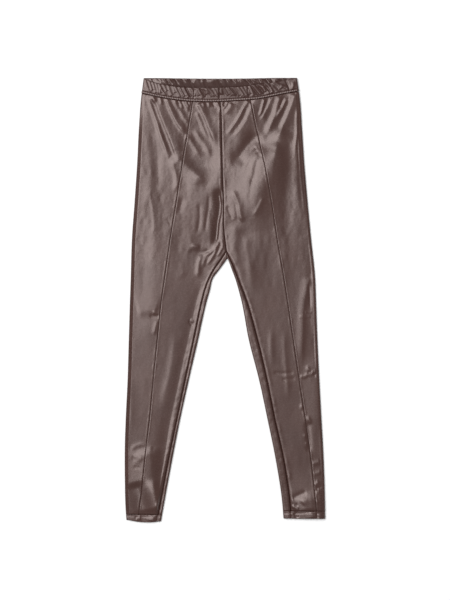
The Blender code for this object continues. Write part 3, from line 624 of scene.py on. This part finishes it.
def front_side(leg):
    """A side panel of the front, from the outer fold that it curves into to its princess seam."""
    inward = INWARD[leg]
    side, princess = line(SIDES, "side_" + leg), line(SIDES, "princess_" + leg)
    levels = front_levels(leg)
    x, y = front_xy(
        lambda y: side(y) + inward * EDGE_ROLL[leg],
        lambda y: princess(y) - inward * SEAM_GAP,
        inward,
        front_columns(SIDE_COLUMNS, seamed=False),
        levels,
    )
    z = front_height(x, y)
    insets, rises, waist_rises = np.array(EDGE_COLUMNS[leg]).T
    edge_x, edge_y = front_xy(side, side, inward, (0 * insets, insets), levels)
    radius = base_height(edge_y) / 2
    edge_z = rises + (waist_rises - rises) * fade(edge_y, 380, 430)
    edge_z = radius + (z[:, :1] - radius) * edge_z
    edge_z[:, 0] += SEAM_GAP
    points = joined((edge_x, edge_y, edge_z), (x, y, z))
    return grid_object(f"front_side_{leg}_cloth", points, flip=leg == "right")


def front_centre(leg):
    """A centre panel of the front, from its princess seam to the centre seam and the inseam."""
    inward = INWARD[leg]
    princess, centre = line(SIDES, "princess_" + leg), centre_line(leg)
    x, y = front_xy(
        lambda y: princess(y) + inward * SEAM_GAP,
        lambda y: centre(y) - inward * SEAM_GAP,
        inward,
        front_columns(CENTRE_COLUMNS, seamed=True),
        front_levels(leg),
    )
    points = np.dstack([x, y, front_height(x, y)])
    return grid_object(f"front_centre_{leg}_cloth", points, flip=leg == "right")


def inner_strip(leg):
    """The back panel's turn round the inner fold of a leg, and its strip up to the inseam."""
    inward = INWARD[leg]
    bottom = HEMS[leg]["top"] + SEAM_GAP
    seam_y = np.linspace(CROTCH[1], bottom, round((CROTCH[1] - bottom) / STRIP_STEP))
    fold_y = seam_y - read(LEG_LEVELS, "below", seam_y)
    fold_y[-1] = bottom
    # At the crotch, the first rows keep clear of the other leg
    clear = inward * SEAM_GAP * fade(-np.arange(len(seam_y)), -3, 0)
    fold = np.column_stack([read(INNER_FOLDS, "fold_" + leg, fold_y) - clear, fold_y])
    seam = np.column_stack([read(INSEAMS, "inseam_" + leg, seam_y) - clear, seam_y])
    length = np.linalg.norm(seam - fold, axis=1)
    into = (seam - fold) / length[:, None]
    radius = base_height(fold_y)[:, None] / 2
    roll = np.minimum(INNER_ROLL, 0.5 * length)[:, None]
    turns = np.linspace(-math.pi / 2, math.pi / 2, HALF_TURN)
    rest = roll + np.linspace(0.0, 1.0, 6)[1:] * (length[:, None] - roll - SEAM_GAP)
    inset = np.hstack([roll * (1 - np.cos(turns)), rest])
    x = fold[:, :1] + into[:, :1] * inset
    y = fold[:, 1:] + into[:, 1:] * inset
    strip_x, strip_y = x[:, len(turns):], y[:, len(turns):]
    groove = SEAM_KINDS["inseam"][0] * hump(length[:, None] - rest, 1.6)
    groove *= fade(np.hypot(strip_x - CROTCH[0], strip_y - CROTCH[1]), 1.0, 12.0)
    top = 2 * radius - groove + 0.25 * ripple(strip_x, strip_y, 8.0, 31)
    return np.dstack([x, y, np.hstack([radius * (1 + np.sin(turns)), top])])


def back_panel(leg):
    """The back panel: flat below, round the inner fold of the leg and up to its inseam."""
    inward, side, strip = INWARD[leg], line(SIDES, "side_" + leg), inner_strip(leg)
    crotch_y = strip[0, 0, 1]
    upper = np.linspace(BACK_TOP - SEAM_GAP, crotch_y + 2.0, BACK_ROWS)
    level = np.append(upper, strip[:, 0, 1])[:, None]
    closer = 1 - 0.05 * np.linspace(1.0, 0.0, 8)[1:] ** 1.5
    shares = np.append(np.linspace(0.0, 0.95, BACK_COLUMNS), closer)
    ends = np.append(read(BACK_CENTRE, "seam", upper) - inward * SEAM_GAP, strip[:, 0, 0])[:, None]
    y = level + 0 * shares
    for _ in range(SETTLING):
        begin = side(y) + inward * OUTER_ROLL
        x = begin + shares * (ends - begin)
        y = np.where(level > crotch_y, top_row_y("back_low", BACK_TOP, x, level), level)
    z = creased(BACK_FOLDS, x, y) * fade(inward * (x - begin), 0, 10) * fade(inward * (ends - x), 0, 10)
    z += 0.7 * hump(ends - x, 1.3) * fade(level, crotch_y, crotch_y + 6)
    turns = np.linspace(0.0, math.pi / 2, QUARTER_TURN)[:-1]
    edge_x = side(y[:, :1]) + inward * OUTER_ROLL * (1 - np.cos(turns))
    edge_y = y[:, :1] + 0 * edge_x
    edge_z = base_height(edge_y) / 2 * (1 - np.sin(turns))
    edge_z[:, 0] -= SEAM_GAP
    flat = joined((edge_x, edge_y, edge_z), (x, y, z))

    # The strip's first column is the flat part's last
    index = np.arange(flat.size // 3).reshape(flat.shape[:2])
    strip = strip[:, 1:]
    strip_index = index.size + np.arange(strip.size // 3).reshape(strip.shape[:2])
    strip_index = np.hstack([index[BACK_ROWS:, -1:], strip_index])
    quads = np.concatenate([quad_rows(index), quad_rows(strip_index)])
    if leg == "left":
        quads = quads[:, ::-1]
    points = np.concatenate([flat.reshape(-1, 3), strip.reshape(-1, 3)])
    return mesh_object(f"back_{leg}_cloth", points, quads, WALL)


# ---------- waistband ----------

# The numbers of the two kinds of gather that the band's front has most of, and all its gathers
USUAL, SLIGHT = (0.6, 2.6, 3.6, 0, 2), (0.45, 1.9, 4.2, 0, 2)
FRONT_GATHERS = folds(
    (*SLIGHT, -166.6, 458, -163, 446, -157.7, 434),
    (*SLIGHT, -160.6, 464, -157, 452, -153.1, 439),
    (*SLIGHT, -152.6, 460, -149, 448, -145.2, 434),
    (*SLIGHT, -145.6, 458, -142, 446, -139.4, 433),
    (*SLIGHT, -139.4, 458, -137, 446, -135.7, 433),
    (*SLIGHT, -134.2, 444, -130, 437, -125.5, 428),
    (*SLIGHT, -131, 454, -127, 446, -122.5, 437),
    (*SLIGHT, -120.6, 454, -117, 442, -111.9, 428),
    (*SLIGHT, -111.9, 453, -108, 444, -105.1, 434),
    (*SLIGHT, -104.9, 448, -100, 437, -94.7, 425),
    (*USUAL, -97, 449, -91, 437, -85.5, 426),
    (*USUAL, -88, 447, -82, 435, -76.5, 424),
    (-0.7, 1.6, 1.6, 0, 2, -81.1, 443, -76, 434, -70, 425),
    (0.7, 3.4, 3.6, 0, 2, -73.1, 447, -68, 438, -63.9, 427),
    (*USUAL, -61.7, 446, -59, 438, -54.7, 428),
    (0.5, 2.6, 3.6, 0, 2, -56, 443, -51, 433, -46.7, 423),
    (-0.8, 1.5, 1.5, 0, 2, -51.3, 442, -46, 434, -40, 425),
    (0.8, 3.4, 3.6, 0, 2, -46, 446, -40, 440, -37, 431),
    (*USUAL, -38.3, 443, -33, 435, -27, 426),
    (*USUAL, -34.7, 445, -28, 437, -20.9, 427),
    (0.5, 3.4, 3.6, 0, 2, -25.2, 447, -19, 437, -14.7, 427),
    (*USUAL, -19.6, 448, -14, 441, -9.5, 432),
    (-1.2, 1.3, 1.5, 1, 1, -12, 444, -12, 433, -12, 420, -11, 414),
    (0.7, 2.6, 3.6, 0, 2, -8, 448, -8, 440, -6.6, 430),
    (*USUAL, -4.3, 447, 1, 439, 6.7, 429),
    (*USUAL, 1.6, 448, 8, 439, 14.9, 428),
    (*USUAL, 7.3, 447, 14, 439, 21.1, 429),
    (-0.8, 1.4, 1.4, 0, 2, 11.3, 445, 18, 437, 25.1, 427),
    (*USUAL, 15.6, 447, 22, 438, 28.9, 427),
    (0.5, 2.6, 3.6, 0, 2, 21.3, 447, 29, 438, 37.2, 427),
    (*USUAL, 27.6, 447, 34, 438, 42, 426),
    (0.5, 2.6, 3.6, 0, 2, 34.8, 448, 41, 438, 47.9, 427),
    (0.7, 2.6, 3.6, 0, 2, 41.9, 450, 47, 441, 51.3, 431),
    (-1, 1.3, 1.3, 1, 1, 47, 443, 49, 432, 51, 424, 52, 418),
    (-0.4, 1.2, 1.2, 1, 1, -64, 443, -65, 430, -66, 418),
    (*USUAL, 52.1, 448, 56, 439, 60.1, 428),
    (-0.8, 1.5, 1.5, 0, 2, 55.5, 448, 63, 438, 72.6, 427),
    (*USUAL, 59.5, 451, 67, 441, 75.2, 430),
    (-0.9, 1.5, 1.5, 0, 2, 65.7, 450, 75, 442, 82.1, 432),
    (0.9, 3.4, 3.6, 0, 2, 71.5, 452, 79, 446, 84.7, 436),
    (0.5, 2.6, 3.6, 0, 2, 79.8, 449, 86, 439, 91.5, 428),
    (-0.6, 1.5, 1.5, 0, 2, 82.3, 452, 90, 443, 96.9, 432),
    (0.9, 3.4, 3.6, 0, 2, 86, 455, 94, 447, 100.7, 435),
    (0.8, 2.6, 3.6, 0, 2, 89.7, 440, 93, 435, 99, 429),
    (0.8, 3.4, 4.2, 0, 2, 100.5, 458, 111, 452, 118.5, 443),
    (0.5, 3.4, 4.2, 0, 2, 100.3, 448, 107, 440, 113, 431),
    (0.8, 3.4, 4.2, 0, 2, 120, 449, 130, 444, 136.4, 436),
    (-0.7, 2, 2, 0, 2, 128, 459, 133, 449, 135.8, 438),
    (*USUAL, 143.3, 454, 142, 446, 137.2, 438),
)
# The level at which the back of the band, standing away from the surface, turns flat again
BACK_TURN = table(
    ("x", "y"),
    (-172, 463.5), (-160, 460), (-150, 458), (-140, 461), (-136, 457), (-132, 461), (-128, 457),
    (-123, 461.5), (-120, 455.5), (-115, 452), (-110, 458), (-107, 461.5), (-104, 455.5), (-101, 451),
    (-96, 456.5), (-92, 461), (-86, 454.5), (-80, 459), (-76, 462.5), (-68, 455.5), (-62, 459),
    (-58, 462.5), (-51, 456.5), (-46, 459), (-42, 462.5), (-36, 456.5), (-29, 458), (-24, 459),
    (-17, 460), (-12, 462.5), (-9, 455.5), (-6, 461.5), (0, 462.5), (6, 456.5), (11, 461), (20, 455.5),
    (25, 461), (32, 456.5), (38, 462.5), (44, 458), (49, 452), (54, 460), (58, 455.5), (63, 461.5),
    (70, 457), (76, 456.5), (80, 461.5), (86, 456.5), (91, 452), (96, 461.5), (101, 455.5), (106, 459),
    (114, 461), (122, 459), (130, 461.5), (135, 453.5), (140, 460), (152, 463.5),
)
# The level from which the band's back stands up, how steeply, and how its gathers lean about a level
BACK_FOOT, BACK_SLOPE, BACK_LEAN, BACK_MIDDLE = 446.0, 0.23, 0.8, 458.0
# How far the band's front lifts in the middle, and how strong the gathers of each half are
FRONT_LIFT = 1.9
GATHER_STRENGTH = 1.45
BACK_TUCK = 0.55
# The pitch of the small ribs along the front's lower edge
RIB_PITCH = 3.6
# Around the band's section, as shares of its height: its foot, the end of the closer rows that
# carry the stitches, and where the top fold begins to turn
FOOT, SEWN, CREST = 0.012, 0.24, 0.93
# Columns along each half, and the level at which its width is taken
BAND_COLUMNS, BAND_LEVEL = 560, 452.0


def band_section(up):
    """Round the section: shares of its height, depths into it, and how far each point shows."""
    outer = np.append(np.linspace(FOOT, SEWN, 20), np.linspace(SEWN, CREST, 30)[1:])
    turn = np.linspace(-1.0, 1.0, 9)[1:-1] * math.pi / 2
    inner = np.linspace(CREST, FOOT, 16 if up > 0 else 30)
    half = BAND_WALL / 2
    ups = np.concatenate([outer, CREST + (1 - CREST) * np.cos(turn), inner])
    depths = np.concatenate([0 * outer, half + half * np.sin(turn), 0 * inner + BAND_WALL])
    shown = np.concatenate([1 + 0 * outer, 0.5 - 0.5 * np.sin(turn), 0 * inner])
    return ups, depths, shown


def front_band_form(x, y, above, near):
    """The gathers and stitches of the band's front, and how far it lifts off in the middle."""
    relief = GATHER_STRENGTH * creased(FRONT_GATHERS, x, y)
    relief += 0.05 * ripple(x + 0.7 * y, 0.4 * y, 4.5, 52)
    relief *= fade(near, 1, 8) * fade(above, 5.0, 6.8)
    ridge = fade(above, 0.6, 1.2) * (1 - fade(above, 4.1, 4.8))
    rib = x / RIB_PITCH % 1.0
    rib = np.minimum(rib / 0.8, (1 - rib) / 0.2)
    relief += (0.4 + 0.5 * rib) * ridge - 0.6 * hump(above - 5.4, 0.7)
    relief -= 0.7 * hump(above, 0.7)
    return relief, FRONT_LIFT * fade(above, 4.5, 36.0) * fade(near, 12, 150)


def back_band_form(x, y, near):
    """The tucks of the band's back, and how far it stands up until it turns flat again."""
    relief = BACK_TUCK * ripple(x + 0.5 * y, 0.2 * y, 3.6, 61) * fade(near, 1, 10)
    climbed = y - BACK_FOOT
    ahead = read(BACK_TURN, "y", x + BACK_LEAN * (y - BACK_MIDDLE)) - BACK_FOOT
    lift = BACK_SLOPE * np.minimum(climbed, ahead)
    lift += 0.8 * fade(climbed, ahead - 2, ahead + 4) * ripple(x + y, 0.3 * y, 7.0, 62)
    return relief, np.clip(lift, 0.0, None) * fade(near, 14, 60)


def band(part, up):
    """Half of the waistband from side fold to side fold, as a closed tube around its section."""
    right, left = sides_at(BAND_LEVEL)
    length = float(left - right + (math.pi - 2) * BAND_HEIGHT / 2)
    at = np.linspace(0.0, length, BAND_COLUMNS)[:, None]
    near = np.minimum(at, length - at)
    ups, depths, shown = band_section(up)
    x, y, _ = band_points(part, at, length, ups, depths, up)
    if up > 0:
        above = y - read(BAND, "front_low", band_share(at, length))
        relief, lift = front_band_form(x, y, above, near)
    else:
        relief, lift = back_band_form(x, y, near)
        shown = 1 - shown
    x, y, z = band_points(part, at, length, ups, depths - up * relief * shown, up)
    points = np.dstack([x, y, z + lift])
    piece = grid_object(f"waistband_{part}_cloth", points, closed=True, thickness=0.0, flip=up < 0)
    close_ends(piece)
    return piece


def close_ends(piece):
    """A face across each end of a tube."""
    mesh = bmesh.new()
    mesh.from_mesh(piece.data)
    edges = [edge for edge in mesh.edges if edge.is_boundary]
    bmesh.ops.holes_fill(mesh, edges=edges, sides=0)
    bmesh.ops.recalc_face_normals(mesh, faces=mesh.faces)
    mesh.to_mesh(piece.data)
    mesh.free()
    piece.data.shade_smooth()


def band_share(along, length):
    """How far across the band a distance along its outer face is, from 0 to 1."""
    end = 0.3 * BAND_HEIGHT
    return np.clip((along - end) / (length - 2 * end), 0.0, 1.0)


def band_points(part, along, length, ups, depth, up):
    """Points at distances along the band's outer face, set inwards by a depth."""
    radius = BAND_HEIGHT / 2
    quarter = math.pi / 2 * radius
    share = band_share(along, length)
    low, high = read(BAND, part + "_low", share), read(BAND, part + "_high", share)
    y = low + ups * (high - low)
    right, left = sides_at(y)
    near = np.minimum(along, length - along)
    turn = np.clip(near / radius, 0, math.pi / 2)
    inset = radius - (radius - depth) * np.cos(turn)
    lift = (radius - depth) * np.sin(turn)
    inset += np.clip(near - quarter, 0, None) * (left - right - 2 * radius) / (length - 2 * quarter)
    x = np.where(along < length / 2, right + inset, left - inset)
    return x, y, radius + up * np.maximum(lift, SEAM_GAP)


# ---------- hems ----------

# Columns across a hem and its rows, and the shares of its depth at which it is pressed in
HEM_COLUMNS, HEM_ROWS = 54, 12
HEM_DENTS = (0.0, 0.28)
# How far the row of stitches lies below the hem's seam and in from the folds
STITCH_DROP, STITCH_INSET = 1.6, 9.0
STITCH_PITCH, STITCH_LENGTH, STITCH_RADIUS = 3.2, 2.5, 0.16
# The creases of the hems
HEM_FOLDS = folds(
    (0.6, 3, 3, 1, 2, -181, -452, -180, -458, -180, -463),
    (-0.5, 3, 3, 1, 2, -186, -454, -186, -460),
    (0.9, 10, 5, 1, 2, -150, -453, -152, -465),
    (0.7, 20, 8, 1, 2, 182, -445, 184, -458),
    (-0.9, 5, 3, 1, 2, 146, -447, 152, -458),
    (0.5, 2.5, 2.5, 1, 1, 137, -447, 140, -452),
    (-0.5, 2.5, 2.5, 1, 1, 193, -446, 194, -457),
    ANKLE_CREST,
)


def hem_face():
    """Across one face: the share of its width, the distance from its fold, and the height."""
    turns = np.linspace(0.0, math.pi / 2, QUARTER_TURN)
    outer, inner = 1 - np.cos(turns), 1 - np.cos(turns[::-1])
    face = np.linspace(0.0, 1.0, HEM_COLUMNS)[1:-1]
    share = np.concatenate([0 * turns, face, 1 + 0 * turns])
    inset = np.concatenate([OUTER_ROLL * outer, 0 * face, INNER_ROLL * inner])
    lift = np.concatenate([np.sin(turns), 1 + 0 * face, np.sin(turns[::-1])])
    return share, inset, LEG_HEIGHT / 2 * lift


def hem(leg):
    """A leg's turned hem: a flattened tube of double cloth, open at both ends."""
    top, edge = HEMS[leg]["top"] - SEAM_GAP, HEMS[leg]["edge"]
    radius = LEG_HEIGHT / 2
    share, inset, lift = hem_face()
    # The lower edge is a curve through its level at both folds and in the middle
    low = edge[0] * (1 - share) * (1 - 2 * share) + edge[1] * 4 * share * (1 - share)
    low = low - edge[2] * share * (1 - 2 * share)
    on_top = fade(lift, 0.8 * radius, radius)
    rows = []
    for drop in np.linspace(0.0, 1.0, HEM_ROWS):
        y = top + drop * (low - top)
        side = read(SIDES, "side_" + leg, y)
        width = np.abs(read(INNER_FOLDS, "fold_" + leg, y) - side)
        across = OUTER_ROLL + share * (width - OUTER_ROLL - INNER_ROLL)
        across = np.where(share <= 0, inset, np.where(share >= 1, width - inset, across))
        x = side + INWARD[leg] * across
        wave = 0.25 * drop * ripple(x, y, 13.0, 41) + creased(HEM_FOLDS, x, y)
        z = radius + lift + (seams_at(x, y) + wave) * on_top
        for dent in HEM_DENTS:
            z = z - 0.5 * hump(drop - dent, 0.09) * fade(lift, 0.0, radius)
        front, back = np.column_stack([x, y, z]), np.column_stack([x, y, radius - lift])
        rows.append(np.concatenate([front, back[::-1][1:-1]]))
    return grid_object(
        f"hem_{leg}_cloth", np.array(rows), closed=True, thickness=HEM_WALL, flip=leg == "right"
    )


def stitches(leg, panel):
    """The row of stitches that holds a leg's hem, each a short spindle of thread on the panel."""
    surface = BVHTree.FromPolygons(
        [vertex.co for vertex in panel.data.vertices],
        [polygon.vertices for polygon in panel.data.polygons],
    )
    y = HEMS[leg]["top"] - STITCH_DROP
    start, end = read(SIDES, "side_" + leg, y), read(INNER_FOLDS, "fold_" + leg, y)
    count = int((abs(end - start) - 2 * STITCH_INSET) / STITCH_PITCH)
    along = np.linspace(-1.0, 1.0, 5)
    turns = np.linspace(0.0, 2 * math.pi, 6, endpoint=False)
    points = []
    for i in range(count):
        middle = start + INWARD[leg] * (STITCH_INSET + i * STITCH_PITCH)
        for share in along:
            x = middle + 0.5 * STITCH_LENGTH * share
            found = surface.ray_cast(Vector((x * MM, y * MM, 1.0)), Vector((0, 0, -1)))[0]
            z = found.z / MM + 0.06 * (1 - share**2)
            round_it = STITCH_RADIUS * math.sqrt(1.02 - share**2)
            points += [(x, y + round_it * math.cos(t), z + round_it * math.sin(t)) for t in turns]
    index = np.arange(len(points)).reshape(count, len(along), len(turns))
    index = np.concatenate([index, index[:, :, :1]], axis=2)
    return mesh_object(f"hem_{leg}_stitches", points, quad_rows(index))


# ---------- materials, floor and light ----------


def set_inputs(node, values):
    """Set sockets of a node by their names."""
    for name, value in values.items():
        node.inputs[name].default_value = value


def coated_cloth(name, dark, light, roughness):
    """A fine-grained coating on stretch cloth, with a satin gloss and slight unevenness."""
    material = bpy.data.materials.new(name)
    material.use_nodes = True
    nodes, links = material.node_tree.nodes, material.node_tree.links
    shader, place = nodes["Principled BSDF"], nodes.new("ShaderNodeTexCoord")

    def noise(scale, detail):
        node = nodes.new("ShaderNodeTexNoise")
        set_inputs(node, {"Scale": scale, "Detail": detail})
        links.new(place.outputs["Object"], node.inputs["Vector"])
        return node.outputs["Fac"]

    def bump(height, distance):
        node = nodes.new("ShaderNodeBump")
        set_inputs(node, {"Distance": distance, "Strength": 0.5})
        links.new(height, node.inputs["Height"])
        return node

    blotches, grain, wrinkles = noise(16.0, 4.0), noise(1100.0, 2.0), noise(210.0, 3.0)
    ramp = nodes.new("ShaderNodeValToRGB")
    for stop, position, color in zip(ramp.color_ramp.elements, (0.35, 0.7), (dark, light)):
        stop.position, stop.color = position, (*color, 1.0)
    links.new(blotches, ramp.inputs["Fac"])
    links.new(ramp.outputs["Color"], shader.inputs["Base Color"])
    gloss = nodes.new("ShaderNodeMapRange")
    set_inputs(gloss, {"To Min": roughness - 0.05, "To Max": roughness + 0.05})
    links.new(wrinkles, gloss.inputs["Value"])
    links.new(gloss.outputs["Result"], shader.inputs["Roughness"])
    coarse, fine = bump(wrinkles, 0.00006), bump(grain, 0.000012)
    links.new(coarse.outputs["Normal"], fine.inputs["Normal"])
    links.new(fine.outputs["Normal"], shader.inputs["Normal"])
    set_inputs(shader, {"Specular IOR Level": 0.62, "Specular Tint": (1.0, 0.86, 0.83, 1.0)})
    return material


def floor_and_lights():
    """A plain pale floor, a large soft light to the left of straight above, and a soft surround."""
    mesh = bpy.data.meshes.new("floor")
    reach = 4.0
    corners = [(-reach, -reach, 0), (reach, -reach, 0), (reach, reach, 0), (-reach, reach, 0)]
    mesh.from_pydata(corners, [], [(0, 1, 2, 3)])
    floor = new_object("floor", mesh)
    material = bpy.data.materials.new("floor")
    material.use_nodes = True
    shader = material.node_tree.nodes["Principled BSDF"]
    pale = {"Base Color": (0.96, 0.96, 0.96, 1), "Roughness": 0.9, "Specular IOR Level": 0.1}
    set_inputs(shader, pale)
    floor.data.materials.append(material)

    add_softbox("key", towards=(-23.8, 12.0), distance=6.0, size=(3.2, 4.85), power=328.0)
    add_softbox("overhead", towards=(-1.8, 12.0), distance=6.3, size=(1.25, 5.1), power=12.0)

    world = bpy.data.worlds.new("surround")
    world.use_nodes = True
    background = world.node_tree.nodes["Background"]
    set_inputs(background, {"Color": (1.0, 1.0, 1.0, 1.0), "Strength": 0.42})
    bpy.context.scene.world = world
    bpy.context.scene.view_settings.view_transform = "Standard"


def add_softbox(name, towards, distance, size, power):
    """A rectangular light aimed at the middle, leaning from straight above by two angles."""
    data = bpy.data.lights.new(name, "AREA")
    data.shape, data.size, data.size_y, data.energy = "RECTANGLE", size[0], size[1], power
    lamp = new_object(name, data)
    place = Vector([math.tan(math.radians(angle)) for angle in towards] + [1.0]).normalized()
    lamp.location = distance * place
    lamp.rotation_euler = place.to_track_quat("Z", "Y").to_euler()


def camera():
    """Straight above, far off, so that its 600 pixels of height cover 1.26 m of the floor."""
    data = bpy.data.cameras.new("camera")
    data.sensor_width, data.lens = 36.0, 171.4
    eye = new_object("camera", data)
    eye.location = (0.0, 0.0, 6.0)
    bpy.context.scene.camera = eye


def main():
    """Everything in the scene: each piece with its fabric, under the root, in place of its part."""
    camera()
    floor_and_lights()
    fabric = coated_cloth("coated_fabric", (0.042, 0.0172, 0.0132), (0.052, 0.0228, 0.0178), 0.27)
    # The band's copy of the coated fabric has a darker base colour. This is painted shade, standing in for
    # the shade in the band's gathers and under the front band's edge.
    band_fabric_painted_shade = coated_cloth("coated_waistband", (0.037, 0.0142, 0.011), (0.046, 0.0192, 0.0152), 0.29)
    pieces = {}
    for leg in INWARD:
        pieces["front_side_" + leg] = front_side(leg)
        pieces["front_centre_" + leg] = front_centre(leg)
        pieces["back_" + leg] = back_panel(leg)
        pieces["hem_" + leg] = hem(leg)
    pieces["waistband_front"] = band("front", 1)
    pieces["waistband_back"] = band("back", -1)
    for node, piece in pieces.items():
        is_band = node.startswith("waistband")
        piece.data.materials.append(band_fabric_painted_shade if is_band else fabric)
        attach(piece, "root")
        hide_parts(node)
    for leg in INWARD:
        row = stitches(leg, pieces["hem_" + leg])
        row.data.materials.append(fabric)
        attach(row, "root")


main()
